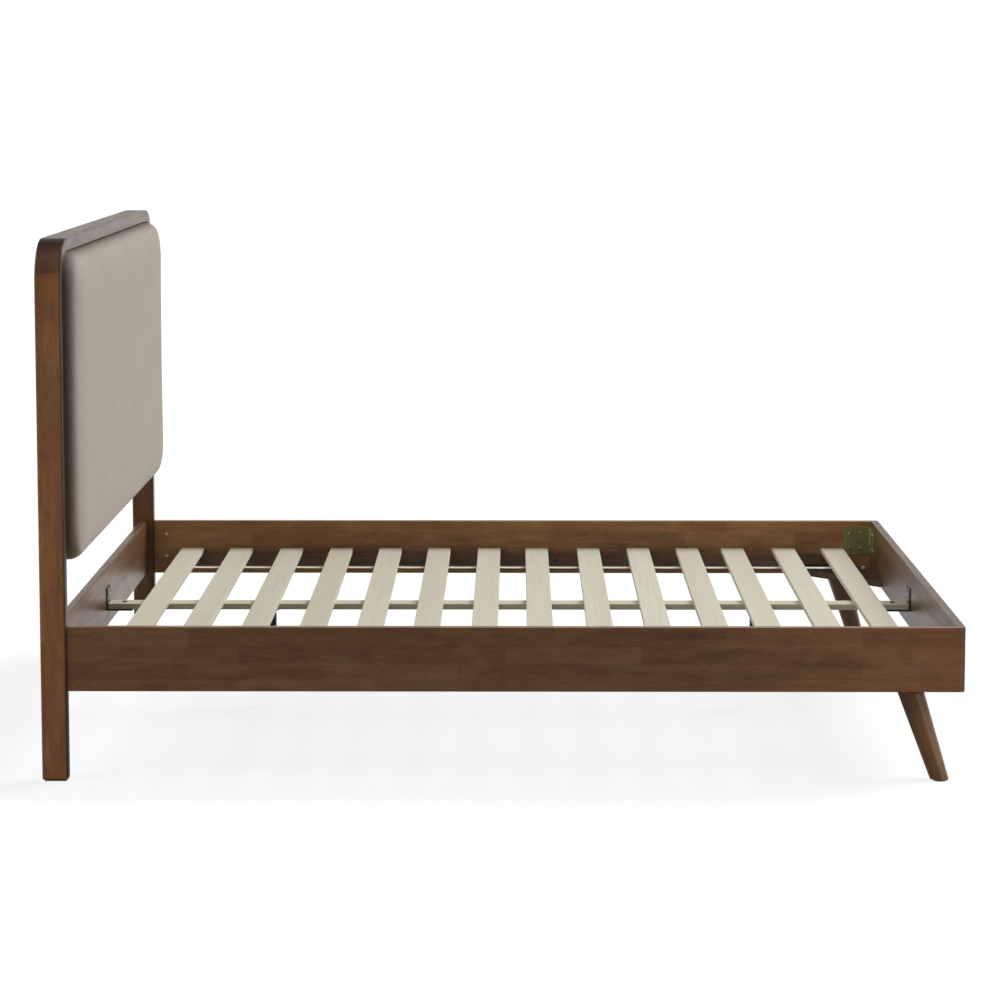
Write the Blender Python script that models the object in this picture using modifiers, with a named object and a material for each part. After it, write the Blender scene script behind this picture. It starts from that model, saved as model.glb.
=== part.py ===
"""A wooden platform bed frame with a padded headboard.

Units are metres and +Z is up. The origin is on the floor under the middle of the
bed. +X points from the headboard to the foot. Left (+Y) and right (-Y) are those
of a person lying on the bed with the head at the headboard.
"""
import math

import bmesh
import bpy
from mathutils import Vector

# ---------------------------------------------------------------- overall size
LENGTH = 2.130
WIDTH = 1.630
HEIGHT = 1.252
GAP = 0.0003                  # between pieces that touch

# ------------------------------------------------------------ headboard frame
POST_DEPTH = 0.060            # along X
FRAME_WALL = 0.032            # thickness of the posts and of the top rail
FRAME_CORNER = 0.100          # outer radius of the rounded top corners
FRAME_ARRIS = 0.0035
PANEL_THICKNESS = 0.012
PANEL_INSET = 0.010           # from the back of the posts
STRETCHER_THICKNESS = 0.020
STRETCHER_HEIGHT = 0.060
STRETCHER_LIFT = 0.012        # above the pad's lower edge
PAD_BOTTOM = 0.503            # above the floor
PAD_PROUD = 0.038             # in front of the posts
PAD_MARGIN = 0.002            # shadow gap round the pad
PAD_ROUNDING = 0.030

# ----------------------------------------------------------------------- rails
RAIL_TOP = 0.361              # above the floor
RAIL_HEIGHT = 0.150
RAIL_THICKNESS = 0.020
RAIL_ARRIS = 0.0025
FOOT_CORNER = 0.012           # outer radius where the side and foot rails meet
TENON_BOLT_CLEARANCE = 0.003  # from a tenon's end to the bed bolts
TENON_THICKNESS = 0.008
TENON_SHOULDER = 0.015        # above and below a tenon
TENON_PLAY = 0.0004

# ------------------------------------------------------------- slats and cleats
SLAT_COUNT = 14
SLAT_WIDTH = 0.064
SLAT_THICKNESS = 0.0125
SLAT_DROP = 0.0765            # from the rails' top down to the slats' top
SLAT_END_PLAY = 0.003
SLAT_HEAD_GAP = 0.104         # from the head rail to the first slat
SLAT_FOOT_GAP = 0.080         # from the last slat to the foot rail
SLAT_STRAYS = (-0.004, -0.004, -0.001, 0.001, 0.001, 0.0, 0.002,
               -0.003, 0.004, 0.0055, 0.0055, -0.0055, 0.0005, 0.0)  # off an even pitch
CLEAT_WIDTH = 0.020
CLEAT_LIFT = 0.009            # above the corner boards that hold the legs
CLEAT_OVERHANG = 0.008        # past the first slat
TAPE_WIDTH = 0.025
TAPE_THICKNESS = 0.0012
TAPE_INSET = 0.256            # from the side rails to the tape's middle

# ---------------------------------------------------------- beam and middle legs
BEAM_WIDTH = 0.054
BEAM_THICKNESS = 0.015
BRACKET_PLATE = 0.003
BRACKET_WIDTH = 0.060
BRACKET_RISE = 0.058
BRACKET_REACH = 0.067
BEAM_BOLT_REACH = 0.043       # from the rail to the bolt through the beam
BEAM_BOLT_RADIUS = 0.003
RAIL_SCREW_LIFT = 0.020       # above the beam
RAIL_SCREW_RADIUS = 0.002
RAIL_SCREW_BITE = 0.014       # into the rail
HEAD_LEG_INSET = 0.417        # from the head rail to the first middle leg
FOOT_LEG_INSET = 0.392        # from the foot rail to the second middle leg
MIDDLE_LEG_RADIUS = 0.019
MIDDLE_LEG_FLANGE = 0.030
MIDDLE_LEG_CLEARANCE = 0.060  # from the floor to the tube's lower end
STEM_RADIUS = 0.004
STEM_PLAY = 0.0005
STEM_LENGTH = 0.080
LEVELING_TRAVEL = 0.046       # the foot is wound up by this much
LEVELING_FOOT_RADIUS = 0.016
LEVELING_FOOT_HEIGHT = 0.012

# ---------------------------------------------------------- splayed legs and feet
LEG_TOP_RADIUS = 0.0305
LEG_BOTTOM_RADIUS = 0.0205
LEG_SPLAY = 0.3156            # tangent of the lean, towards the foot and outwards
LEG_FOOT_INSET_X = 0.0526     # from the foot rail's outer face to the leg's lower end
LEG_FOOT_INSET_Y = 0.026      # from the post's outer face to the leg's lower end
LEG_BOLT_RADIUS = 0.004
LEG_BOLT_BITE = 0.035         # into the leg
LEG_NUT_RADIUS = 0.0085
LEG_NUT_HEIGHT = 0.008
GUSSET_ARM = 0.230
GUSSET_THICKNESS = 0.018
GLIDE_THICKNESS = 0.003
GLIDE_INSET = 0.005           # from the edges of the leg above it

# ------------------------------------------------------------------ corner fittings
CORNER_BRACKET_HEIGHT = 0.080
CORNER_BRACKET_DROP = 0.016   # below the rails' top
CORNER_BRACKET_PLATE = 0.0025
CORNER_BRACKET_BEND = 0.004   # inner radius where the plate is folded
CORNER_BRACKET_CLEARANCE = 0.002
BED_BOLT_RADIUS = 0.003
BED_BOLT_PLAY = 0.0004
BED_BOLT_HEAD_RADIUS = 0.006
BED_BOLT_HEAD_HEIGHT = 0.005
BED_BOLT_SINK = 0.002         # from the post's back to the bolt's head
BED_BOLT_DROPS = (0.037, 0.101)   # below the rails' top
BARREL_NUT_RADIUS = 0.005
BARREL_NUT_LENGTH = 0.015
BARREL_NUT_SINK = 0.001       # from the rail's inner face
BARREL_NUT_REACH = 0.035      # from the post to the nut's axis

# -------------------------------------------------------------------- worked out
HEAD_END = -LENGTH / 2
FOOT_END = LENGTH / 2
POST_FRONT = HEAD_END + POST_DEPTH
POST_MIDDLE = HEAD_END + POST_DEPTH / 2
SIDE_MIDDLE = WIDTH / 2 - FRAME_WALL / 2          # middle of the posts and side rails
RAIL_OUTER = SIDE_MIDDLE + RAIL_THICKNESS / 2
RAIL_INNER = SIDE_MIDDLE - RAIL_THICKNESS / 2
POST_INNER = WIDTH / 2 - FRAME_WALL
RAIL_BOTTOM = RAIL_TOP - RAIL_HEIGHT
HEAD_RAIL_FRONT = POST_MIDDLE + RAIL_THICKNESS / 2
FOOT_RAIL_INNER = FOOT_END - RAIL_THICKNESS
SLAT_TOP = RAIL_TOP - SLAT_DROP
SLAT_BOTTOM = SLAT_TOP - SLAT_THICKNESS
FIRST_SLAT = HEAD_RAIL_FRONT + SLAT_HEAD_GAP
LAST_SLAT = FOOT_RAIL_INNER - SLAT_FOOT_GAP       # far edge of the last slat
SLAT_PITCH = (LAST_SLAT - FIRST_SLAT - SLAT_WIDTH) / (SLAT_COUNT - 1)
BEAM_TOP = SLAT_BOTTOM - GAP
BEAM_BOTTOM = BEAM_TOP - BEAM_THICKNESS
PANEL_FRONT = HEAD_END + PANEL_INSET + PANEL_THICKNESS
PAD_FRONT = POST_FRONT + PAD_PROUD
GUSSET_TOP = RAIL_BOTTOM + GUSSET_THICKNESS
CORNER_BRACKET_ARM = SLAT_FOOT_GAP - CORNER_BRACKET_CLEARANCE
LEG_FOOT_X = FOOT_END - LEG_FOOT_INSET_X
LEG_FOOT_Y = WIDTH / 2 - LEG_FOOT_INSET_Y
LEG_TOP_X = LEG_FOOT_X - LEG_SPLAY * RAIL_BOTTOM
LEG_TOP_Y = LEG_FOOT_Y - LEG_SPLAY * RAIL_BOTTOM

SIDES = (("right", -1), ("left", 1))
ENDS = (("head", -1), ("foot", 1))

ARC_STEPS = 8                 # facets in a quarter turn
ROUND_STEPS = 24              # facets round a small turned piece
LEG_STEPS = 32                # facets round a splayed leg
CUT_THROUGH = 0.002           # how far a cutter runs past a face


# ------------------------------------------------------------------------ scene
def clear_scene():
    for obj in list(bpy.data.objects):
        bpy.data.objects.remove(obj, do_unlink=True)


def new_collection(name):
    collection = bpy.data.collections.new(name)
    bpy.context.scene.collection.children.link(collection)
    return collection


def new_material(name, colour, roughness, metallic=0.0):
    material = bpy.data.materials.new(name)
    material.use_nodes = True
    shader = material.node_tree.nodes["Principled BSDF"]
    shader.inputs["Base Color"].default_value = (*colour, 1.0)
    shader.inputs["Roughness"].default_value = roughness
    shader.inputs["Metallic"].default_value = metallic
    material.diffuse_color = (*colour, 1.0)
    return material


clear_scene()
PARTS = new_collection("bed_frame")
CUTTERS = new_collection("cutters")

WALNUT = new_material("walnut", (0.088, 0.043, 0.024), 0.42)
DARK_WALNUT = new_material("dark_walnut", (0.045, 0.025, 0.016), 0.55)
PALE_WOOD = new_material("pale_wood", (0.68, 0.61, 0.49), 0.60)
LINEN = new_material("linen", (0.42, 0.36, 0.29), 0.92)
WEBBING = new_material("webbing", (0.78, 0.77, 0.73), 0.85)
BLACK_STEEL = new_material("black_steel", (0.02, 0.02, 0.021), 0.45, 0.7)
ZINC = new_material("zinc", (0.62, 0.62, 0.60), 0.32, 1.0)
BLACK_PLASTIC = new_material("black_plastic", (0.025, 0.025, 0.025), 0.5)


# ---------------------------------------------------------------------- helpers
def place(obj, name, material=None):
    """Names an object and moves it to the parts, or to the cutters if it has no material."""
    obj.name = name
    obj.data.name = name
    for collection in list(obj.users_collection):
        collection.objects.unlink(obj)
    if material is None:
        CUTTERS.objects.link(obj)
        obj.hide_render = True
        obj.display_type = "WIRE"
    else:
        PARTS.objects.link(obj)
        obj.data.materials.append(material)
    return obj


def bevel(obj, width, segments=2, method="ANGLE"):
    modifier = obj.modifiers.new("rounded_edges", "BEVEL")
    modifier.width = width
    modifier.segments = segments
    modifier.limit_method = method
    modifier.angle_limit = math.radians(40)
    return obj


def boolean(obj, operation, *tools):
    for tool in tools:
        modifier = obj.modifiers.new(tool.name, "BOOLEAN")
        modifier.operation = operation
        modifier.solver = "EXACT"
        modifier.object = tool
    return obj


def shade_round(obj):
    obj.data.shade_smooth()
    obj.data.set_sharp_from_angle(angle=math.radians(35))
    return obj


def box(name, low, high, material=None, arris=0.0, segments=2):
    """A box between two corners, with its edges rounded by arris."""
    low, high = Vector(low), Vector(high)
    bpy.ops.mesh.primitive_cube_add(size=1, location=(low + high) / 2)
    obj = bpy.context.object
    obj.scale = high - low
    bpy.ops.object.transform_apply(location=False, rotation=False, scale=True)
    place(obj, name, material)
    if arris:
        bevel(obj, arris, segments)
    return obj


def rod(name, start, end, radius, material=None, vertices=ROUND_STEPS):
    """A cylinder between two points."""
    start, end = Vector(start), Vector(end)
    axis = end - start
    turn = axis.to_track_quat("Z", "Y").to_euler()
    bpy.ops.mesh.primitive_cylinder_add(
        vertices=vertices, radius=radius, depth=axis.length,
        location=(start + end) / 2, rotation=turn)
    return shade_round(place(bpy.context.object, name, material))


def turned(name, profile, foot, direction, material, steps=ROUND_STEPS):
    """A profile of (radius, height) pairs, top to bottom, turned round an axis.

    Height is measured from the point foot along direction. The profile starts and
    ends on the axis.
    """
    mesh = bpy.data.meshes.new(name)
    shape = bmesh.new()
    points = [shape.verts.new((radius, 0, height)) for radius, height in profile]
    for upper, lower in zip(points, points[1:]):
        shape.edges.new((upper, lower))
    shape.to_mesh(mesh)
    shape.free()
    obj = bpy.data.objects.new(name, mesh)
    bpy.context.scene.collection.objects.link(obj)
    obj.location = foot
    obj.rotation_euler = Vector(direction).to_track_quat("Z", "Y").to_euler()
    screw = obj.modifiers.new("turned", "SCREW")
    screw.steps = steps
    screw.render_steps = steps
    screw.use_merge_vertices = True
    screw.merge_threshold = 0.00001
    screw.use_smooth_shade = True
    return place(obj, name, material)


def arc(centre, radius, start, end, steps=ARC_STEPS):
    """Points on an arc, with its angles in degrees."""
    angles = [start + (end - start) * step / steps for step in range(steps + 1)]
    return [(centre[0] + radius * math.cos(math.radians(angle)),
             centre[1] + radius * math.sin(math.radians(angle))) for angle in angles]


TURNS = {"X": (math.pi / 2, 0, math.pi / 2), "Y": (math.pi / 2, 0, 0), "Z": (0, 0, 0)}


def board(name, outline, axis, low, high, material, arris, keep_sharp=None):
    """A flat outline extruded along an axis from low to high.

    The outline is (y, z) pairs for axis X, (x, z) for Y and (x, y) for Z. Its edges
    are rounded by arris, apart from those whose middle keep_sharp accepts.
    """
    data = bpy.data.curves.new(name, "CURVE")
    data.dimensions = "2D"
    data.fill_mode = "BOTH"
    data.extrude = (high - low) / 2
    spline = data.splines.new("POLY")
    spline.points.add(len(outline) - 1)
    for point, (across, up) in zip(spline.points, outline):
        point.co = (across, up, 0, 1)
    spline.use_cyclic_u = True
    curve = bpy.data.objects.new(name + "_curve", data)
    bpy.context.scene.collection.objects.link(curve)
    curve.rotation_euler = TURNS[axis]
    curve.location["XYZ".index(axis)] = (low + high) / 2
    bpy.context.view_layer.update()
    evaluated = curve.evaluated_get(bpy.context.evaluated_depsgraph_get())
    mesh = bpy.data.meshes.new_from_object(evaluated)
    obj = bpy.data.objects.new(name, mesh)
    bpy.context.scene.collection.objects.link(obj)
    obj.matrix_world = curve.matrix_world.copy()
    matrix = curve.matrix_world.copy()
    bpy.data.objects.remove(curve, do_unlink=True)

    shape = bmesh.new()
    shape.from_mesh(mesh)
    bmesh.ops.remove_doubles(shape, verts=shape.verts, dist=0.00001)
    bmesh.ops.dissolve_limit(shape, angle_limit=math.radians(1), verts=shape.verts,
                             edges=shape.edges)
    bmesh.ops.recalc_face_normals(shape, faces=shape.faces)
    weights = shape.edges.layers.float.new("bevel_weight_edge")
    for edge in shape.edges:
        middle = matrix @ ((edge.verts[0].co + edge.verts[1].co) / 2)
        sharp = edge.calc_face_angle(0) > math.radians(30)
        kept = keep_sharp is not None and keep_sharp(middle)
        edge[weights] = 1.0 if sharp and not kept else 0.0
    shape.to_mesh(mesh)
    shape.free()
    mesh.materials.clear()
    place(obj, name, material)
    bevel(obj, arris, 2, "WEIGHT")
    return obj


# -------------------------------------------------------------- headboard frame
def headboard_posts():
    """Posts that run from the floor into a quarter turn at the top."""
    inner = FRAME_CORNER - FRAME_WALL
    turn_y = WIDTH / 2 - FRAME_CORNER
    turn_z = HEIGHT - FRAME_CORNER
    foot = GLIDE_THICKNESS + GAP
    posts = {}
    for side, sign in SIDES:
        outer_arc = arc((turn_y, turn_z), FRAME_CORNER, 0, 90)
        inner_arc = arc((turn_y, turn_z), inner, 90, 0)
        outline = [(POST_INNER, foot), (WIDTH / 2, foot), *outer_arc, *inner_arc]
        outline = [(sign * y, z) for y, z in outline]
        posts[sign] = board(
            f"headboard_post_{side}", outline, "X", HEAD_END, POST_FRONT, WALNUT, FRAME_ARRIS,
            keep_sharp=lambda middle: abs(middle.y) < turn_y + GAP)
    return posts


def headboard_top_rail():
    half = WIDTH / 2 - FRAME_CORNER - GAP
    low, high = HEIGHT - FRAME_WALL, HEIGHT
    outline = [(-half, low), (half, low), (half, high), (-half, high)]
    return board("headboard_top_rail", outline, "X", HEAD_END, POST_FRONT, WALNUT, FRAME_ARRIS,
                 keep_sharp=lambda middle: abs(middle.y) > half - GAP)


def tenoned_rail(name, x_middle, thickness, low, high, posts):
    """A cross rail with a tenon at each end, and the mortises for it in the posts."""
    half = POST_INNER - GAP
    rail = box(name, (x_middle - thickness / 2, -half, low),
               (x_middle + thickness / 2, half, high), WALNUT, RAIL_ARRIS)
    reach = SIDE_MIDDLE - BED_BOLT_RADIUS - TENON_BOLT_CLEARANCE
    side = TENON_THICKNESS / 2
    tenon = box(name + "_tenon", (x_middle - side, -reach, low + TENON_SHOULDER),
                (x_middle + side, reach, high - TENON_SHOULDER))
    boolean(rail, "UNION", tenon)
    room = side + TENON_PLAY
    depth = reach + TENON_PLAY
    for sign, post in posts.items():
        near, far = sorted((sign * (POST_INNER - CUT_THROUGH), sign * depth))
        mortise = box(f"{name}_mortise_{sign}",
                      (x_middle - room, near, low + TENON_SHOULDER - TENON_PLAY),
                      (x_middle + room, far, high - TENON_SHOULDER + TENON_PLAY))
        boolean(post, "DIFFERENCE", mortise)
    return rail


def headboard_panel():
    """The board behind the pad, between the stretcher and the top rail."""
    half = POST_INNER - GAP
    low = PAD_BOTTOM + STRETCHER_LIFT + STRETCHER_HEIGHT + GAP
    high = HEIGHT - FRAME_WALL - GAP
    radius = FRAME_CORNER - FRAME_WALL - GAP
    outline = [(-half, low), (half, low),
               *arc((half - radius, high - radius), radius, 0, 90),
               *arc((radius - half, high - radius), radius, 90, 180)]
    return board("headboard_panel", outline, "X", HEAD_END + PANEL_INSET, PANEL_FRONT,
                 DARK_WALNUT, 0.001)


def headboard_pad():
    half = POST_INNER - PAD_MARGIN
    low = PAD_BOTTOM
    high = HEIGHT - FRAME_WALL - PAD_MARGIN
    radius = FRAME_CORNER - FRAME_WALL - PAD_MARGIN
    outline = [*arc((radius - half, low + radius), radius, 180, 270),
               *arc((half - radius, low + radius), radius, 270, 360),
               *arc((half - radius, high - radius), radius, 0, 90),
               *arc((radius - half, high - radius), radius, 90, 180)]
    back = PANEL_FRONT + GAP
    return board("headboard_pad", outline, "X", back, PAD_FRONT, LINEN, PAD_ROUNDING,
                 keep_sharp=lambda middle: middle.x < back + GAP)


# ------------------------------------------------------------------------ rails
def mitre_point(radius_centre):
    """The middle of the rounded foot corner, where the mitre starts."""
    reach = FOOT_CORNER * math.sqrt(0.5)
    return radius_centre[0] + reach, radius_centre[1] + reach


def side_rails():
    centre = (FOOT_END - FOOT_CORNER, RAIL_OUTER - FOOT_CORNER)
    shift = GAP * math.sqrt(0.5)          # half the mitre's gap, taken from this rail
    rails = {}
    for side, sign in SIDES:
        rounded = arc(centre, FOOT_CORNER, 90, 45, ARC_STEPS // 2)
        outline = [(POST_FRONT + GAP, RAIL_INNER), (POST_FRONT + GAP, RAIL_OUTER),
                   *[(x - shift, y) for x, y in rounded],
                   (FOOT_RAIL_INNER - shift, RAIL_INNER)]
        outline = [(x, sign * y) for x, y in outline]
        rails[sign] = board(
            f"side_rail_{side}", outline, "Z", RAIL_BOTTOM, RAIL_TOP, WALNUT, RAIL_ARRIS,
            keep_sharp=lambda middle: middle.x > mitre_point(centre)[0] - FOOT_CORNER)
    return rails


def foot_rail():
    centre = (FOOT_END - FOOT_CORNER, RAIL_OUTER - FOOT_CORNER)
    shift = GAP * math.sqrt(0.5)
    rounded = [(x, y - shift) for x, y in arc(centre, FOOT_CORNER, 45, 0, ARC_STEPS // 2)]
    half = [(FOOT_RAIL_INNER, RAIL_INNER - shift), *rounded]
    outline = half + [(x, -y) for x, y in reversed(half)]
    limit = mitre_point(centre)[1] - FOOT_CORNER
    return board("foot_rail", outline, "Z", RAIL_BOTTOM, RAIL_TOP, WALNUT, RAIL_ARRIS,
                 keep_sharp=lambda middle: abs(middle.y) > limit)


def bed_bolts(posts, rails):
    """Bolts through each post into barrel nuts in the side rail."""
    seat = HEAD_END + BED_BOLT_SINK + BED_BOLT_HEAD_HEIGHT
    nut_x = POST_FRONT + BARREL_NUT_REACH
    tip = nut_x + BARREL_NUT_RADIUS + CUT_THROUGH
    length = tip - seat
    for side, sign in SIDES:
        y = sign * SIDE_MIDDLE
        nut_inner = RAIL_INNER + BARREL_NUT_SINK
        nut_outer = nut_inner + BARREL_NUT_LENGTH
        for rank, drop in zip(("upper", "lower"), BED_BOLT_DROPS):
            z = RAIL_TOP - drop
            label = f"{side}_{rank}"
            turned(f"bed_bolt_{label}",
                   [(0, length + BED_BOLT_HEAD_HEIGHT),
                    (BED_BOLT_HEAD_RADIUS, length + BED_BOLT_HEAD_HEIGHT),
                    (BED_BOLT_HEAD_RADIUS, length), (BED_BOLT_RADIUS, length),
                    (BED_BOLT_RADIUS, 0), (0, 0)],
                   (tip, y, z), (-1, 0, 0), ZINC)
            hole = rod(f"bolt_hole_{label}", (HEAD_END - CUT_THROUGH, y, z),
                       (tip + CUT_THROUGH, y, z), BED_BOLT_RADIUS + BED_BOLT_PLAY)
            seat_hole = rod(f"bolt_seat_{label}", (HEAD_END - CUT_THROUGH, y, z),
                            (seat + GAP, y, z), BED_BOLT_HEAD_RADIUS + BED_BOLT_PLAY)
            nut_hole = rod(f"nut_hole_{label}",
                           (nut_x, sign * (RAIL_INNER - CUT_THROUGH), z),
                           (nut_x, sign * (nut_outer + GAP), z),
                           BARREL_NUT_RADIUS + GAP)
            boolean(posts[sign], "DIFFERENCE", hole, seat_hole)
            boolean(rails[sign], "DIFFERENCE", hole, nut_hole)
            nut = rod(f"barrel_nut_{label}", (nut_x, sign * nut_inner, z),
                      (nut_x, sign * nut_outer, z), BARREL_NUT_RADIUS, ZINC)
            boolean(nut, "DIFFERENCE", hole)


# -------------------------------------------------------------- slats and cleats
def cleats():
    top = SLAT_BOTTOM - GAP
    for side, sign in SIDES:
        inner, outer = sorted((sign * (RAIL_INNER - GAP - CLEAT_WIDTH),
                               sign * (RAIL_INNER - GAP)))
        box(f"cleat_{side}", (FIRST_SLAT - CLEAT_OVERHANG, inner, GUSSET_TOP + CLEAT_LIFT),
            (LAST_SLAT, outer, top), DARK_WALNUT, 0.0015)


def slats():
    reach = RAIL_INNER - SLAT_END_PLAY
    for number in range(SLAT_COUNT):
        start = FIRST_SLAT + number * SLAT_PITCH + SLAT_STRAYS[number % len(SLAT_STRAYS)]
        box(f"slat_{number + 1:02d}", (start, -reach, SLAT_BOTTOM),
            (start + SLAT_WIDTH, reach, SLAT_TOP), PALE_WOOD, 0.0015)


def slat_tapes():
    top = SLAT_BOTTOM - GAP
    for side, sign in SIDES:
        middle = sign * (RAIL_INNER - TAPE_INSET)
        box(f"slat_tape_{side}",
            (FIRST_SLAT + SLAT_STRAYS[0], middle - TAPE_WIDTH / 2, top - TAPE_THICKNESS),
            (LAST_SLAT, middle + TAPE_WIDTH / 2, top), WEBBING)


# ---------------------------------------------------------- beam and middle legs
def centre_beam(rails):
    """The beam, its two angle brackets, and the screws that hold them."""
    rail_faces = {-1: HEAD_RAIL_FRONT, 1: FOOT_RAIL_INNER}
    end = {sign: face - sign * (2 * GAP + BRACKET_PLATE) for sign, face in rail_faces.items()}
    beam = box("centre_beam", (end[-1], -BEAM_WIDTH / 2, BEAM_BOTTOM),
               (end[1], BEAM_WIDTH / 2, BEAM_TOP), PALE_WOOD, 0.0015)
    shelf_top = BEAM_BOTTOM - GAP
    shelf_bottom = shelf_top - BRACKET_PLATE
    top = shelf_bottom + BRACKET_RISE
    for end_name, sign in ENDS:
        face = rail_faces[sign] - sign * GAP
        plate = face - sign * BRACKET_PLATE
        tip = face - sign * BRACKET_REACH
        outline = [(face, shelf_bottom), (face, top), (plate, top), (plate, shelf_top),
                   (tip, shelf_top), (tip, shelf_bottom)]
        bracket = board(f"beam_bracket_{end_name}", outline, "Y", -BRACKET_WIDTH / 2,
                        BRACKET_WIDTH / 2, BLACK_STEEL, 0.0005)
        bolt_x = face - sign * BEAM_BOLT_REACH
        radius = BEAM_BOLT_RADIUS
        dome = BEAM_TOP + GAP
        turned(f"beam_bolt_{end_name}",
               [(0, dome + 0.0025), (radius * 1.3, dome + 0.002), (radius * 2.2, dome),
                (radius, dome), (radius, shelf_bottom - GAP), (radius * 1.9, shelf_bottom - GAP),
                (radius * 1.9, shelf_bottom - 0.003), (radius, shelf_bottom - 0.003),
                (radius, shelf_bottom - 0.004), (0, shelf_bottom - 0.004)],
               (bolt_x, 0, 0), (0, 0, 1), BLACK_STEEL)
        bolt_hole = rod(f"beam_bolt_hole_{end_name}", (bolt_x, 0, shelf_bottom - 0.02),
                        (bolt_x, 0, BEAM_TOP + 0.02), radius + GAP)
        screw_z = BEAM_TOP + RAIL_SCREW_LIFT
        bite = rail_faces[sign] + sign * RAIL_SCREW_BITE
        length = abs(bite - plate)
        radius = RAIL_SCREW_RADIUS
        turned(f"rail_screw_{end_name}",
               [(0, length + 0.0028), (radius * 1.6, length + 0.0024),
                (radius * 2.3, length + GAP), (radius, length + GAP), (radius, 0.004), (0, 0)],
               (bite, 0, screw_z), (-sign, 0, 0), ZINC)
        screw_hole = rod(f"rail_screw_hole_{end_name}",
                         (bite + sign * 0.001, 0, screw_z),
                         (plate - sign * 0.01, 0, screw_z), radius + GAP)
        boolean(beam, "DIFFERENCE", bolt_hole)
        boolean(bracket, "DIFFERENCE", bolt_hole, screw_hole)
        boolean(rails[sign], "DIFFERENCE", screw_hole)


def middle_legs():
    """Tubes under the beam, each with a threaded foot that winds down to the floor."""
    top = BEAM_BOTTOM - GAP
    places = {"head": HEAD_RAIL_FRONT + HEAD_LEG_INSET, "foot": FOOT_RAIL_INNER - FOOT_LEG_INSET}
    bore = STEM_RADIUS + STEM_PLAY
    foot_top = LEVELING_TRAVEL + LEVELING_FOOT_HEIGHT
    stem_top = foot_top + STEM_LENGTH
    for end_name, x in places.items():
        turned(f"centre_leg_{end_name}",
               [(0, top), (MIDDLE_LEG_FLANGE, top), (MIDDLE_LEG_FLANGE, top - BRACKET_PLATE),
                (MIDDLE_LEG_RADIUS, top - BRACKET_PLATE),
                (MIDDLE_LEG_RADIUS, MIDDLE_LEG_CLEARANCE), (bore, MIDDLE_LEG_CLEARANCE),
                (bore, stem_top + STEM_RADIUS), (0, stem_top + STEM_RADIUS)],
               (x, 0, 0), (0, 0, 1), BLACK_STEEL)
        rim = LEVELING_FOOT_RADIUS
        turned(f"leveling_foot_{end_name}",
               [(0, LEVELING_FOOT_HEIGHT + STEM_LENGTH),
                (STEM_RADIUS, LEVELING_FOOT_HEIGHT + STEM_LENGTH),
                (STEM_RADIUS, LEVELING_FOOT_HEIGHT), (rim * 0.55, LEVELING_FOOT_HEIGHT),
                (rim, LEVELING_FOOT_HEIGHT * 0.45), (rim, LEVELING_FOOT_HEIGHT * 0.1),
                (rim * 0.94, 0), (0, 0)],
               (x, 0, LEVELING_TRAVEL), (0, 0, 1), BLACK_PLASTIC)


# ---------------------------------------------------------- splayed legs and feet
def splayed_legs():
    """Tapered legs that lean towards the foot and outwards, bolted to corner boards."""
    foot_z = GLIDE_THICKNESS + GAP
    top_z = RAIL_BOTTOM - GAP
    floor_to_rail = box("leg_slab", (0, -WIDTH, foot_z), (LENGTH, WIDTH, top_z))
    for side, sign in SIDES:
        foot = Vector((LEG_FOOT_X, sign * LEG_FOOT_Y, 0))
        top = Vector((LEG_TOP_X, sign * LEG_TOP_Y, RAIL_BOTTOM))
        length = (top - foot).length
        spare = LEG_TOP_RADIUS            # extra at each end, trimmed level by the slab
        taper = (LEG_TOP_RADIUS - LEG_BOTTOM_RADIUS) / length
        upper = LEG_TOP_RADIUS + taper * spare
        lower = LEG_BOTTOM_RADIUS - taper * spare
        leg = turned(f"foot_leg_{side}",
                     [(0, length + spare), (upper, length + spare), (lower, -spare), (0, -spare)],
                     foot, top - foot, WALNUT, LEG_STEPS)
        boolean(leg, "INTERSECT", floor_to_rail)
        leg_bolt(side, top, leg)
        glide_radius = LEG_BOTTOM_RADIUS - GLIDE_INSET
        rod(f"leg_glide_{side}", foot, foot + Vector((0, 0, GLIDE_THICKNESS)),
            glide_radius, BLACK_PLASTIC)


def leg_bolt(side, top, leg):
    """A gusset board in the rails' corner, and the bolt that holds the leg under it."""
    sign = 1 if top.y > 0 else -1
    corner_x = FOOT_RAIL_INNER - GAP
    corner_y = RAIL_INNER - GAP
    outline = [(corner_x, corner_y), (corner_x - GUSSET_ARM, corner_y),
               (corner_x, corner_y - GUSSET_ARM)]
    gusset = board(f"leg_gusset_{side}", [(x, sign * y) for x, y in outline], "Z",
                   RAIL_BOTTOM, GUSSET_TOP, DARK_WALNUT, 0.001)
    low = RAIL_BOTTOM - LEG_BOLT_BITE
    nut_base = GUSSET_TOP + GAP
    nut_top = nut_base + LEG_NUT_HEIGHT
    radius = LEG_BOLT_RADIUS
    turned(f"leg_bolt_{side}",
           [(0, nut_top + radius), (radius, nut_top + radius), (radius, nut_top),
            (LEG_NUT_RADIUS, nut_top), (LEG_NUT_RADIUS, nut_base), (radius, nut_base),
            (radius, low + radius), (0, low)],
           (top.x, top.y, 0), (0, 0, 1), ZINC)
    hole = rod(f"leg_bolt_hole_{side}", (top.x, top.y, low - GAP),
               (top.x, top.y, nut_top), radius + GAP)
    boolean(gusset, "DIFFERENCE", hole)
    boolean(leg, "DIFFERENCE", hole)


def post_glides():
    for side, sign in SIDES:
        near, far = sorted((sign * (POST_INNER + GLIDE_INSET),
                            sign * (WIDTH / 2 - GLIDE_INSET)))
        box(f"post_glide_{side}", (HEAD_END + GLIDE_INSET, near, 0),
            (POST_FRONT - GLIDE_INSET, far, GLIDE_THICKNESS), BLACK_PLASTIC)


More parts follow.
